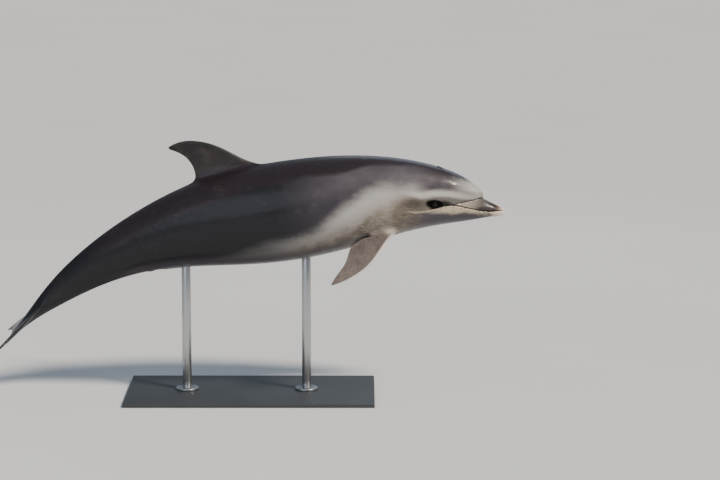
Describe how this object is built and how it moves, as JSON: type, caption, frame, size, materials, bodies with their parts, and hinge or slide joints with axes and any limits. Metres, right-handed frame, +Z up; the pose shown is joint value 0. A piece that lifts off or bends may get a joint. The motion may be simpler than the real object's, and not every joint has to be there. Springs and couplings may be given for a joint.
{
  "type": "bottlenose dolphin",
  "caption": "Life-size still model of a leaping bottlenose dolphin, held over a flat steel base by short rods.",
  "frame": {"origin": "centre of the base's underside, on the floor", "axes": "+Z up, +X towards the beak, -Y on the animal's right side"},
  "size_m": [2.4476, 0.6543, 1.2412],
  "materials": {
    "skin": "smooth wet satin skin: dark cape, grey flank, pale belly",
    "eye": "polished dark brown",
    "stand_plate": "fine matt powder coat",
    "stand_rod": "brushed along its length"
  },
  "bodies": {
    "root": {"beak_upper": "skin", "beak_lower": "skin", "head": "skin", "neck": "skin", "trunk_front": "skin", "trunk_rear": "skin", "tail_stock_front": "skin", "tail_stock_rear": "skin", "dorsal_fin": "skin", "flipper_right": "skin", "flipper_left": "skin", "fluke_right": "skin", "fluke_left": "skin", "eye_right": "eye", "eye_left": "eye", "stand_base": "stand_plate", "stand_rod_front": "stand_rod", "stand_rod_rear": "stand_rod", "stand_flange_front": "stand_rod", "stand_flange_rear": "stand_rod"}
  },
  "joints": []
}
